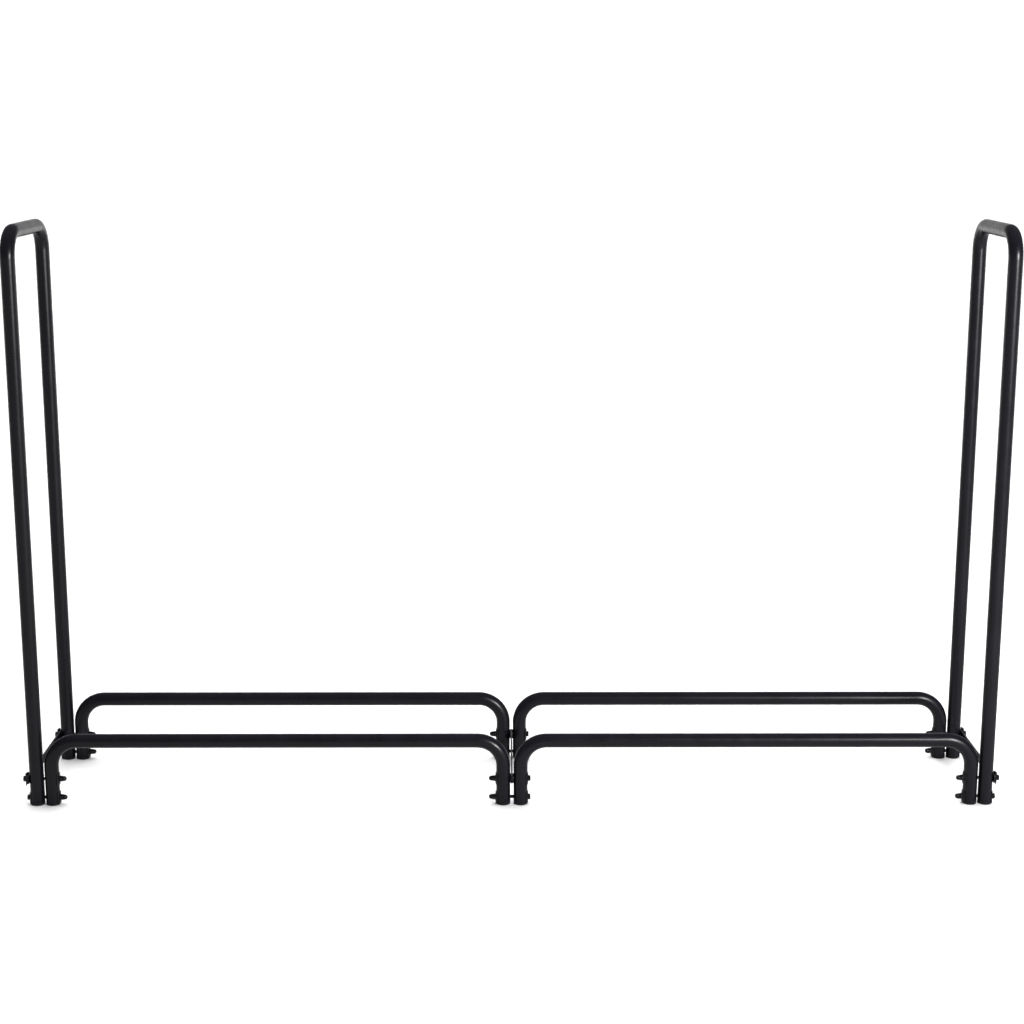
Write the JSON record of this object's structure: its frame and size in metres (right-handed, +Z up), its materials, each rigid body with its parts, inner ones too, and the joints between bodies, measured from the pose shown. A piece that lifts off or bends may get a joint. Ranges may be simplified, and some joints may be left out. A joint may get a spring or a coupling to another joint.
{
  "type": "firewood log rack",
  "caption": "Free-standing firewood rack of bent round steel tube: a low cradle of rails between tall inverted-U end hoops, bolted together.",
  "frame": {"origin": "on the floor at the centre of the rack's footprint", "axes": "+X to the right along the rack's length, +Y to the rear, +Z up"},
  "size_m": [2.4308, 0.37, 1.43],
  "materials": {
    "powder_coated_steel": "satin black powder coat",
    "black_hardware": "black zinc plate, semi-gloss",
    "foot_plastic": "moulded, matte"
  },
  "bodies": {
    "root": {"front_left_cap_nuts": "black_hardware", "front_left_flat_washers": "black_hardware", "front_left_hoop_foot_plug": "foot_plastic", "front_left_nut_saddle_washers": "black_hardware", "front_left_rail": "powder_coated_steel", "front_left_rail_inner_foot_plug": "foot_plastic", "front_left_rail_outer_foot_plug": "foot_plastic", "front_middle_bolts": "black_hardware", "front_middle_cap_nuts": "black_hardware", "front_middle_flat_washers": "black_hardware", "front_middle_head_saddle_washers": "black_hardware", "front_middle_nut_saddle_washers": "black_hardware", "front_middle_spacer_washers": "black_hardware", "front_right_cap_nuts": "black_hardware", "front_right_flat_washers": "black_hardware", "front_right_hoop_foot_plug": "foot_plastic", "front_right_nut_saddle_washers": "black_hardware", "front_right_rail": "powder_coated_steel", "front_right_rail_inner_foot_plug": "foot_plastic", "front_right_rail_outer_foot_plug": "foot_plastic", "left_cross_bar": "powder_coated_steel", "left_lower_bolts": "black_hardware", "left_lower_head_saddle_washers": "black_hardware", "left_upper_bolts": "black_hardware", "left_upper_head_saddle_washers": "black_hardware", "left_upright_hoop": "powder_coated_steel", "middle_cross_bar": "powder_coated_steel", "rear_left_cap_nuts": "black_hardware", "rear_left_flat_washers": "black_hardware", "rear_left_hoop_foot_plug": "foot_plastic", "rear_left_nut_saddle_washers": "black_hardware", "rear_left_rail": "powder_coated_steel", "rear_left_rail_inner_foot_plug": "foot_plastic", "rear_left_rail_outer_foot_plug": "foot_plastic", "rear_middle_bolts": "black_hardware", "rear_middle_cap_nuts": "black_hardware", "rear_middle_flat_washers": "black_hardware", "rear_middle_head_saddle_washers": "black_hardware", "rear_middle_nut_saddle_washers": "black_hardware", "rear_middle_spacer_washers": "black_hardware", "rear_right_cap_nuts": "black_hardware", "rear_right_flat_washers": "black_hardware", "rear_right_hoop_foot_plug": "foot_plastic", "rear_right_nut_saddle_washers": "black_hardware", "rear_right_rail": "powder_coated_steel", "rear_right_rail_inner_foot_plug": "foot_plastic", "rear_right_rail_outer_foot_plug": "foot_plastic", "right_cross_bar": "powder_coated_steel", "right_lower_bolts": "black_hardware", "right_lower_head_saddle_washers": "black_hardware", "right_upper_bolts": "black_hardware", "right_upper_head_saddle_washers": "black_hardware", "right_upright_hoop": "powder_coated_steel"}
  },
  "joints": []
}
